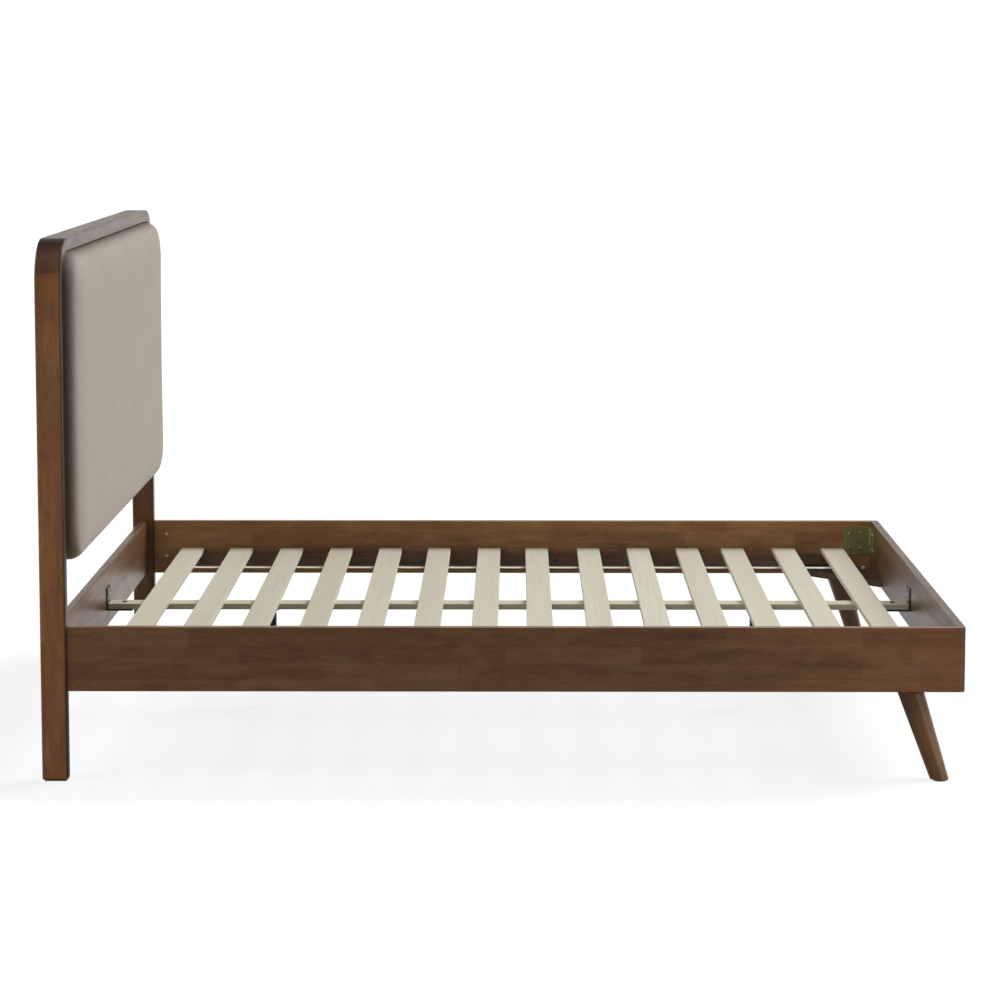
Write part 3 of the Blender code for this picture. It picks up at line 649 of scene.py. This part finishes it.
pad = copy_of("headboard_pad", "headboard_pad_cover")
pad_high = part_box("headboard_pad")[1]
free_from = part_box("headboard_post_left")[1].x + CLEAR_OF_POSTS
remesh = pad.modifiers.new("even_squares", "REMESH")
remesh.mode = "VOXEL"
remesh.voxel_size = PAD_VOXEL
remesh.use_smooth_shade = True
apply_modifiers(pad)


def free_points(shape):
    """The points of the pad's face and rounded edge, clear of the posts."""
    return [vert for vert in shape.verts if vert.co.x > free_from]


def even_out(shape, points, times):
    """Moves each point towards the middle of its neighbours, so many times."""
    for _ in range(times):
        bmesh.ops.smooth_vert(shape, verts=points, factor=0.5, use_axis_x=True,
                              use_axis_y=True, use_axis_z=True)


shape = bmesh.new()
shape.from_mesh(pad.data)
even_out(shape, shape.verts, 3)
for vert in free_points(shape):
    vert.co.x -= PAD_SHRINK * (vert.co.x - free_from) / (pad_high.x - free_from)
shape.to_mesh(pad.data)
shape.free()
print("pad", len(pad.data.vertices), "points")

# %% [markdown]
# The block is blown up with a little pressure as cloth, with gravity off. The sides
# are glued to the foam, so everything behind the face's rounded edge stays pinned,
# and only the face swells. A cap stops any point from moving too far.


# %% Swell the cloth
def blow_up(piece, held, pressure, frames, cap):
    """Swells a piece as cloth, with some points held, and caps how far a point moves."""
    group = piece.vertex_groups.new(name="held")
    group.add(held, 1.0, "REPLACE")
    start = [v.co.copy() for v in piece.data.vertices]
    cloth = piece.modifiers.new("cloth", "CLOTH")
    settings = cloth.settings
    settings.quality = 6
    settings.mass = 0.3
    settings.vertex_group_mass = "held"
    settings.tension_stiffness = 30
    settings.compression_stiffness = 30
    settings.shear_stiffness = 12
    settings.bending_stiffness = 2.0
    settings.use_pressure = True
    settings.uniform_pressure_force = pressure
    settings.effector_weights.gravity = 0
    cloth.point_cache.frame_start, cloth.point_cache.frame_end = 1, frames
    scene = bpy.context.scene
    for number in range(1, frames + 1):
        scene.frame_set(number)
    apply_modifiers(piece)
    scene.frame_set(1)
    for vert, first in zip(piece.data.vertices, start):
        step = vert.co - first
        if step.length > cap:
            vert.co = first + step * (cap / step.length)


PRESSURE, FRAMES = 4.0, 20
held = [v.index for v in pad.data.vertices if v.co.x <= pad_high.x - PAD_EDGE]
blow_up(pad, held, PRESSURE, FRAMES, PAD_SWELL)
shape = bmesh.new()
shape.from_mesh(pad.data)
for _ in range(8):
    even_out(shape, free_points(shape), 1)
shape.to_mesh(pad.data)
shape.free()
print("pad swelled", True)

# %% [markdown]
# One subdivision rounds the squares off. The cloth then takes the solid's place on the bed.

# %% Dress the pad
pad.vertex_groups.clear()
smooth = pad.modifiers.new("even_cloth", "SUBSURF")
smooth.levels = smooth.render_levels = 1
apply_modifiers(pad)
pad.data.shade_smooth()
pad.data.materials.clear()
pad.data.materials.append(pad_linen)
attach(pad, BED)
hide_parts("headboard_pad")
print("pad front", round(max(v.co.x for v in pad.data.vertices), 4),
      "solid", round(pad_high.x, 4))

# %% [markdown]
# ## Woven tapes
#
# Two white tapes are stapled under the slats and keep them evenly spaced. A tape is a
# thin sheet: it lies flat against each slat and dips a little in between. A strip of
# squares is laid out in one go, dropped between the slats, and given its thickness.


# %% Tape finish
RIB, YARN = 0.0022, 0.0016    # metres along and across the tape


def webbing(name):
    finish, tree, shader = new_finish(name, Roughness=0.85, Sheen_Weight=0.15)
    place = own_place(tree)
    ribs = add_node(tree, "TexWave", {"Vector": place, "Scale": WAVE_RULE / RIB,
                                      "Distortion": 0.4, "Detail": 1.0},
                    wave_type="BANDS", bands_direction="X").outputs["Fac"]
    yarns = add_node(tree, "TexWave", {"Vector": place, "Scale": WAVE_RULE / YARN,
                                       "Distortion": 0.0},
                     wave_type="BANDS", bands_direction="Y").outputs["Fac"]
    weave = add_node(tree, "Math", {0: ribs, 1: yarns}, operation="MULTIPLY").outputs[0]
    tree.links.new(blend_colours(tree, remap(tree, weave, 0, 0.6), (0.66, 0.655, 0.62),
                                 (0.86, 0.855, 0.83)), shader.inputs["Base Color"])
    raise_bump(tree, shader, weave, 0.0004, 0.6)
    return finish


tape_webbing = webbing("white_webbing")
print("webbing", tape_webbing.name)

# %% [markdown]
# Most new pieces are made in the same way: a bmesh becomes an object that rides on a body and
# wears the finish it is given.


# %% New pieces
def new_piece(name, shape, finish, smooth=False, body=BED):
    """Turns a bmesh into a piece that rides on a body."""
    mesh = as_mesh(shape, name)
    if smooth:
        mesh.shade_smooth()
        mesh.set_sharp_from_angle(angle=math.radians(35))
    piece = bpy.data.objects.new(name, mesh)
    bpy.context.scene.collection.objects.link(piece)
    mesh.materials.append(finish)
    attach(piece, body)
    return piece


# %% [markdown]
# The tape's grid has a row of squares about every 6 mm. Between two slats each row
# is let down along a parabola, lowest halfway.

# %% Tapes
TAPE_DIP = 0.0005
TAPE_SQUARE = 0.006
SKIN = 0.0001                 # keeps the tape clear of the slats
slat_spans = [(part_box(slat)[0].x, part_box(slat)[1].x) for slat in slats]


def tape_dip(x):
    """How far a tape hangs below the slats at x."""
    for (_, before), (after, _) in zip(slat_spans, slat_spans[1:]):
        if before < x < after:
            share = (x - before) / (after - before)
            return TAPE_DIP * 4 * share * (1 - share)
    return 0.0


def tape(side):
    low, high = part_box(f"slat_tape_{side}")
    length, width = high.x - low.x, high.y - low.y
    shape = bmesh.new()
    bmesh.ops.create_grid(shape, x_segments=int(length / TAPE_SQUARE), y_segments=4, size=0.5)
    centre = (low + high) / 2
    bmesh.ops.scale(shape, verts=shape.verts, vec=(length, width, 1))
    bmesh.ops.translate(shape, verts=shape.verts, vec=(centre.x, centre.y, high.z - SKIN))
    for vert in shape.verts:
        vert.co.z -= tape_dip(vert.co.x)
    piece = new_piece(f"slat_webbing_{side}", shape, tape_webbing)
    thickness = piece.modifiers.new("thickness", "SOLIDIFY")
    thickness.thickness = high.z - low.z - SKIN
    thickness.offset = -1
    apply_modifiers(piece)
    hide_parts(f"slat_tape_{side}")
    print("tape", side, round(width, 4), "x", round(length, 4))


for side, sign in SIDES:
    tape(side)

# %% [markdown]
# ## Fasteners
#
# A fastener is turned: half of its outline is spun round an axis, and the open ends
# are closed with flat faces.


# %% Turning
STEPS = 20                    # faces round a fastener
LEVEL = 1e-6                  # heights nearer than this are the same


def turn(shape, outline):
    """Spins (radius, height) pairs, bottom to top, into a closed shape on the Z axis."""
    points = [shape.verts.new((radius, 0, height)) for radius, height in outline]
    edges = [shape.edges.new(pair) for pair in zip(points, points[1:])]
    bmesh.ops.spin(shape, geom=points + edges, cent=(0, 0, 0), axis=(0, 0, 1), dvec=(0, 0, 0),
                   angle=2 * math.pi, steps=STEPS, use_merge=True, use_duplicate=False)
    bmesh.ops.remove_doubles(shape, verts=shape.verts, dist=0.000001)
    open_edges = [edge for edge in shape.edges if edge.is_boundary]
    bmesh.ops.holes_fill(shape, edges=open_edges, sides=0)
    bmesh.ops.recalc_face_normals(shape, faces=shape.faces)
    return shape


def top_face(shape):
    return max(shape.faces, key=lambda face: face.calc_center_median().z)


# %% [markdown]
# A drive recess is then sunk into the flat end. A cross or a slot comes from slicing
# the end face with planes and sinking the slices between them. A hexagon comes from
# bridging the round rim to a six-sided ring and pulling that ring down.


# %% Drive recesses
def sink_cross(shape, arm, depth, slot_only=False):
    """Sinks a cross, or a single slot, into the top face. The arms are twice arm wide."""
    top = top_face(shape)
    reach = max(vert.co.xy.length for vert in top.verts)
    bmesh.ops.inset_region(shape, faces=[top], thickness=reach * 0.25)
    height = top.calc_center_median().z

    def inside_rim():
        return [face for face in shape.faces
                if abs(face.calc_center_median().z - height) < LEVEL
                and max(vert.co.xy.length for vert in face.verts) < reach * 0.8]

    for normal in ((1, 0, 0), (0, 1, 0))[: 1 if slot_only else 2]:
        for side in (-1, 1):
            inner = inside_rim()
            around = {edge for face in inner for edge in face.edges}
            corners = {vert for face in inner for vert in face.verts}
            bmesh.ops.bisect_plane(shape, geom=list(corners) + list(around) + inner,
                                   plane_co=Vector(normal) * arm * side, plane_no=normal)
    sunk = [face for face in inside_rim()
            if abs(face.calc_center_median().x) < arm
            or (not slot_only and abs(face.calc_center_median().y) < arm)]
    bmesh.ops.inset_region(shape, faces=sunk, thickness=arm * 0.15, depth=-depth)
    return shape


def sink_hexagon(shape, radius, depth):
    """Sinks a six-sided socket into the top face."""
    top = top_face(shape)
    rim = list(top.edges)
    height = top.calc_center_median().z
    bmesh.ops.delete(shape, geom=[top], context="FACES_ONLY")
    ring = bmesh.ops.create_circle(shape, cap_ends=False, segments=6, radius=radius,
                                   matrix=Matrix.Translation((0, 0, height)))["verts"]
    ring_edges = list({edge for vert in ring for edge in vert.link_edges})
    bmesh.ops.bridge_loops(shape, edges=rim + ring_edges)
    down = bmesh.ops.extrude_edge_only(shape, edges=ring_edges)["geom"]
    low = [item for item in down if isinstance(item, bmesh.types.BMVert)]
    bmesh.ops.translate(shape, verts=low, vec=(0, 0, -depth))
    bmesh.ops.contextual_create(shape, geom=[item for item in down
                                             if isinstance(item, bmesh.types.BMEdge)])
    bmesh.ops.recalc_face_normals(shape, faces=shape.faces)
    return shape


# %% [markdown]
# A nut is a prism. A row is one mesh copied to many places as one piece. Each copy is
# spun a little further, so that the recesses do not all stand the same way.


# %% Nuts and rows
SPIN = 0.7                    # radians from one fastener to the next


def hexagon(shape, radius, low, high):
    """A nut: a six-sided prism with its upper corners taken off."""
    made = bmesh.ops.create_cone(shape, cap_ends=True, segments=6, radius1=radius,
                                 radius2=radius, depth=high - low,
                                 matrix=Matrix.Translation((0, 0, (low + high) / 2)))["verts"]
    rims = {edge for vert in made for edge in vert.link_edges
            if abs(edge.verts[0].co.z - edge.verts[1].co.z) < LEVEL}
    bmesh.ops.bevel(shape, geom=list(rims), offset=radius * 0.08, segments=1, profile=0.5,
                    affect="EDGES", material=-1)


def set_at(place, direction, spin):
    """The matrix that stands a fastener at a place, with its head towards direction."""
    turned = Vector(direction).to_track_quat("Z", "Y").to_matrix().to_4x4()
    return Matrix.Translation(place) @ turned @ Matrix.Rotation(spin, 4, "Z")


def row_of(name, mesh, places, finish, body=BED):
    """One piece made of the same fastener at many places."""
    shape = bmesh.new()
    for number, (place, direction) in enumerate(places):
        copy = mesh.copy()
        copy.transform(set_at(place, direction, SPIN * number))
        shape.from_mesh(copy)
        bpy.data.meshes.remove(copy)
    return new_piece(name, shape, finish, smooth=True, body=body)


# %% [markdown]
# Flat-headed screws sit flush in the cleats and the back board, and round-headed
# screws hold the steel angles and the middle legs' flanges. The heads stand a hair
# proud of the surface they are in, which is at height nought in these outlines.

# %% Two screws
flat_screw = as_mesh(sink_cross(turn(bmesh.new(), [
    (0.0012, -0.006), (0.0018, -0.003), (0.0042, 0.0), (0.0042, 0.0004)]), 0.0005, 0.0012),
    "flat_screw")
round_screw = as_mesh(sink_cross(turn(bmesh.new(), [
    (0.0016, -0.004), (0.0018, 0.0), (0.0046, 0.0), (0.0044, 0.0010), (0.0036, 0.0020),
    (0.0024, 0.0026)]), 0.0004, 0.0011), "round_screw")

print("screws", flat_screw.name, round_screw.name)

# %% [markdown]
# Eight screws are spread along each cleat, low on its inner face. Each corner angle
# has eight as well, four in the wing on the side rail and four in the other wing.

# %% Cleat and angle screws
CLEAT_SCREWS, CLEAT_END, CLEAT_HEIGHT = 8, 0.06, 0.014
ANGLE_REACHES, ANGLE_EDGE, ANGLE_PLATE = (0.030, 0.060), 0.018, 0.0025


def spread(low, high, count, inset):
    """Evenly spread numbers. The first and last are an inset away from the ends."""
    return [low + inset + (high - low - 2 * inset) * number / (count - 1)
            for number in range(count)]


for side, sign in SIDES:
    low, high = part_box(f"cleat_{side}")
    inner = low.y if sign > 0 else high.y
    places = [((x, inner, low.z + CLEAT_HEIGHT), (0, -sign, 0))
              for x in spread(low.x, high.x, CLEAT_SCREWS, CLEAT_END)]
    row_of(f"cleat_screws_{side}", flat_screw, places, black_steel)

    low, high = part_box(f"corner_bracket_{side}")
    corner = high.y if sign > 0 else low.y
    places = []
    for reach in ANGLE_REACHES:
        for z in (low.z + ANGLE_EDGE, high.z - ANGLE_EDGE):
            places.append(((high.x - reach, corner - sign * ANGLE_PLATE, z), (0, -sign, 0)))
            places.append(((high.x - ANGLE_PLATE, corner - sign * reach, z), (-1, 0, 0)))
    row_of(f"corner_screws_{side}", round_screw, places, olive_steel)
print("screws in an angle", len(places))

# %% [markdown]
# The back board has a row of screws along its top and one along its bottom. Four
# screws hold each middle leg's flange under the beam, with their heads downwards.

# %% Back board and flange screws
PANEL_SCREWS, PANEL_END, PANEL_EDGE = 7, 0.09, 0.02
FLANGE_CIRCLE, FLANGE_PLATE = 0.0245, 0.003

low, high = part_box("headboard_panel")
places = [((low.x, y, z), (-1, 0, 0))
          for y in spread(low.y, high.y, PANEL_SCREWS, PANEL_END)
          for z in (low.z + PANEL_EDGE, high.z - PANEL_EDGE)]
row_of("panel_screws", flat_screw, places, zinc)
print("screws in the back board", len(places))

for end, sign in ENDS:
    low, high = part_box(f"centre_leg_{end}")
    middle = (low + high) / 2
    places = [((middle.x + FLANGE_CIRCLE * math.cos(math.radians(angle)),
                FLANGE_CIRCLE * math.sin(math.radians(angle)), high.z - FLANGE_PLATE),
               (0, 0, -1)) for angle in (45, 135, 225, 315)]
    row_of(f"flange_screws_{end}", round_screw, places, zinc)

# %% [markdown]
# The beam's angles are held to the rails by one screw each, and a bolt with a domed
# head drops through the beam into a nut.

# %% Beam fasteners
RAIL_SCREW_HEAD = 0.0028

for end, sign in ENDS:
    low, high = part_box(f"rail_screw_{end}")
    middle = (low + high) / 2
    head = low.x + RAIL_SCREW_HEAD if sign > 0 else high.x - RAIL_SCREW_HEAD
    length = high.x - low.x - RAIL_SCREW_HEAD
    screw = as_mesh(sink_cross(turn(bmesh.new(), [
        (0.0008, -length), (0.002, 0.004 - length), (0.002, 0.0), (0.0046, 0.0002),
        (0.0045, 0.0012), (0.0036, 0.0022), (0.0024, RAIL_SCREW_HEAD)]), 0.0004, 0.0012),
        "rail_screw")
    piece = row_of(f"rail_screw_zinc_{end}", screw,
                   [((head, middle.y, middle.z), (-sign, 0, 0))], zinc)
    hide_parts(f"rail_screw_{end}")

    low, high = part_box(f"beam_bolt_{end}")
    middle = (low + high) / 2
    shape = turn(bmesh.new(), [
        (0.003, low.z), (0.003, high.z - 0.0025), (0.0066, high.z - 0.0025),
        (0.0062, high.z - 0.0014), (0.0045, high.z - 0.0004), (0.002, high.z)])
    hexagon(shape, 0.0057, low.z + 0.001, low.z + 0.0038)
    bolt = as_mesh(shape, "beam_bolt")
    piece = row_of(f"beam_bolt_domed_{end}", bolt, [((middle.x, middle.y, 0), (0, 0, 1))],
                   black_steel)
    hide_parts(f"beam_bolt_{end}")
    print("beam bolt", end, round(high.z - low.z, 3))

# %% [markdown]
# Each side rail is pulled against its post by two long bolts. Their socket heads show
# at the back of the posts, and the slotted ends of the barrel nuts show as bright
# dots on the rails' inner faces.

# %% Bed bolts and barrel nuts
for side, sign in SIDES:
    for rank in ("upper", "lower"):
        low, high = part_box(f"bed_bolt_{side}_{rank}")
        middle = (low + high) / 2
        length = high.x - low.x
        bolt = as_mesh(sink_hexagon(turn(bmesh.new(), [
            (0.003, -length), (0.003, -0.005), (0.006, -0.005), (0.006, -0.0004),
            (0.0056, 0.0)]), 0.0030, 0.003), "bed_bolt")
        piece = row_of(f"bed_bolt_socket_{side}_{rank}", bolt,
                       [((low.x, middle.y, middle.z), (-1, 0, 0))], zinc)
        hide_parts(f"bed_bolt_{side}_{rank}")

        low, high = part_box(f"barrel_nut_{side}_{rank}")
        middle = (low + high) / 2
        inner = low.y if sign > 0 else high.y
        length = high.y - low.y
        nut = as_mesh(sink_cross(turn(bmesh.new(), [
            (0.005, -length), (0.005, -0.0004), (0.0047, 0.0)]), 0.0007, 0.0015, True),
            "barrel_nut")
        # The nuts' bright nickel colour is a painted reflection.
        piece = row_of(f"barrel_nut_slotted_{side}_{rank}", nut,
                       [((middle.x, inner, middle.z), (0, -sign, 0))], nickel)
        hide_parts(f"barrel_nut_{side}_{rank}")
    print("barrel nuts", side, round(length, 3))

# %% [markdown]
# Each splayed leg hangs from a bolt through its corner board, with a washer and a nut
# on top. The washer is lifted a hair, so that no two faces share a plane.

# %% Leg bolts
for side, sign in SIDES:
    low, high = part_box(f"leg_bolt_{side}")
    middle = (low + high) / 2
    board_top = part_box(f"leg_gusset_{side}")[1].z
    shape = turn(bmesh.new(), [(0.002, low.z), (0.004, low.z + 0.004),
                               (0.004, high.z - 0.001), (0.003, high.z)])
    washer = turn(bmesh.new(), [(0.0042, board_top + 0.0002), (0.0100, board_top + 0.0002),
                                (0.0100, board_top + 0.0016), (0.0042, board_top + 0.0016)])
    mesh = as_mesh(washer, "washer")
    shape.from_mesh(mesh)
    hexagon(shape, 0.0075, board_top + 0.0018, board_top + 0.0082)
    bolt = as_mesh(shape, "leg_bolt")
    piece = row_of(f"leg_bolt_nut_{side}", bolt, [((middle.x, middle.y, 0), (0, 0, 1))],
                   zinc)
    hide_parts(f"leg_bolt_{side}")
    print("leg bolt", side, round(high.z - low.z, 3))

# %% [markdown]
# A hexagon bolt with a washer holds each corner board at the bed's corner, under the
# fold of the steel angle.

# %% Corner board bolts
CORNER_BOLT_INSET = 0.022
shape = turn(bmesh.new(), [(0.0030, -0.004), (0.0030, 0.0), (0.0090, 0.0002),
                           (0.0090, 0.0016), (0.0040, 0.0018)])
hexagon(shape, 0.0065, 0.0019, 0.0068)
corner_bolt = as_mesh(shape, "corner_bolt")
for side, sign in SIDES:
    low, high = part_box(f"leg_gusset_{side}")
    outer = (high.y if sign > 0 else low.y) - sign * CORNER_BOLT_INSET
    row_of(f"corner_board_bolt_{side}", corner_bolt,
           [((high.x - CORNER_BOLT_INSET, outer, high.z), (0, 0, 1))], zinc)
print("corner board bolts", len(SIDES))

# %% [markdown]
# ## Levelling feet
#
# Each middle leg ends in a plastic foot on a threaded stem that winds in and out. The
# thread is a small triangle that climbs one pitch for each turn round the stem.


# %% Threads
THREAD_STEPS = 16             # faces round one turn
THREAD_WIDTH = 0.42           # half the triangle's height, as a share of the pitch


def thread(shape, radius, low, high, pitch, depth):
    """Winds a triangular thread round the Z axis, from low to high."""
    turns = (high - low) / pitch
    steps = int(turns * THREAD_STEPS)
    ring = [shape.verts.new(place) for place in
            ((radius - depth, 0, low - pitch * THREAD_WIDTH), (radius, 0, low),
             (radius - depth, 0, low + pitch * THREAD_WIDTH))]
    edges = [shape.edges.new((ring[i], ring[(i + 1) % 3])) for i in range(3)]
    shape.faces.new(ring)
    made = bmesh.ops.spin(shape, geom=ring + edges, cent=(0, 0, 0), axis=(0, 0, 1),
                          dvec=(0, 0, (high - low) / steps), angle=2 * math.pi * turns,
                          steps=steps, use_duplicate=False)
    last = [item for item in made["geom_last"] if isinstance(item, bmesh.types.BMVert)]
    bmesh.ops.contextual_create(shape, geom=last)
    bmesh.ops.recalc_face_normals(shape, faces=shape.faces)


# %% [markdown]
# The foot is a flared disc under a stem. It is turned at the world's axis, then moved
# under its leg, and it rides on its own body.

# %% Levelling feet
PITCH, THREAD_DEPTH = 0.00125, 0.0006
STEM = 0.0040                 # the stem's radius over its thread

for end, sign in ENDS:
    low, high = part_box(f"leveling_foot_{end}")
    middle = (low + high) / 2
    shape = turn(bmesh.new(), [
        (0.0150, low.z), (0.0160, low.z + 0.0012), (0.0160, low.z + 0.0054),
        (0.0120, low.z + 0.0085), (0.0075, low.z + 0.0120), (0.0034, low.z + 0.0122),
        (0.0034, high.z - 0.0005), (0.0030, high.z)])
    thread(shape, STEM, low.z + 0.0145, high.z - 0.003, PITCH, THREAD_DEPTH)
    foot = as_mesh(shape, "leveling_foot")
    foot.transform(Matrix.Translation((middle.x, middle.y, 0)))
    shape = bmesh.new()
    shape.from_mesh(foot)
    piece = new_piece(f"leveling_foot_threaded_{end}", shape, black_plastic,
                      smooth=True, body=f"{end}_foot")
    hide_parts(f"leveling_foot_{end}")
    print("levelling foot", end, round(high.z - low.z, 3))

# %% [markdown]
# ## Staples
#
# Two staples hold each tape to each slat. A staple's crown is all that shows: a short
# flat wire across the tape.

# %% Staples
CROWN = (0.0012, 0.0110, 0.0007)
CROWN_DROP = 0.0002           # from the tape's underside to the wire's middle

for side, sign in SIDES:
    low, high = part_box(f"slat_tape_{side}")
    middle = (low + high) / 2
    shape = bmesh.new()
    for start, stop in slat_spans:
        for share in (0.3, 0.7):
            x = start + (stop - start) * share
            made = bmesh.ops.create_cube(shape, size=1)["verts"]
            bmesh.ops.scale(shape, verts=made, vec=CROWN)
            bmesh.ops.translate(shape, verts=made, vec=(x, middle.y, low.z - CROWN_DROP))
    new_piece(f"tape_staples_{side}", shape, zinc)
print("staples", 2 * len(slat_spans), "to a tape")
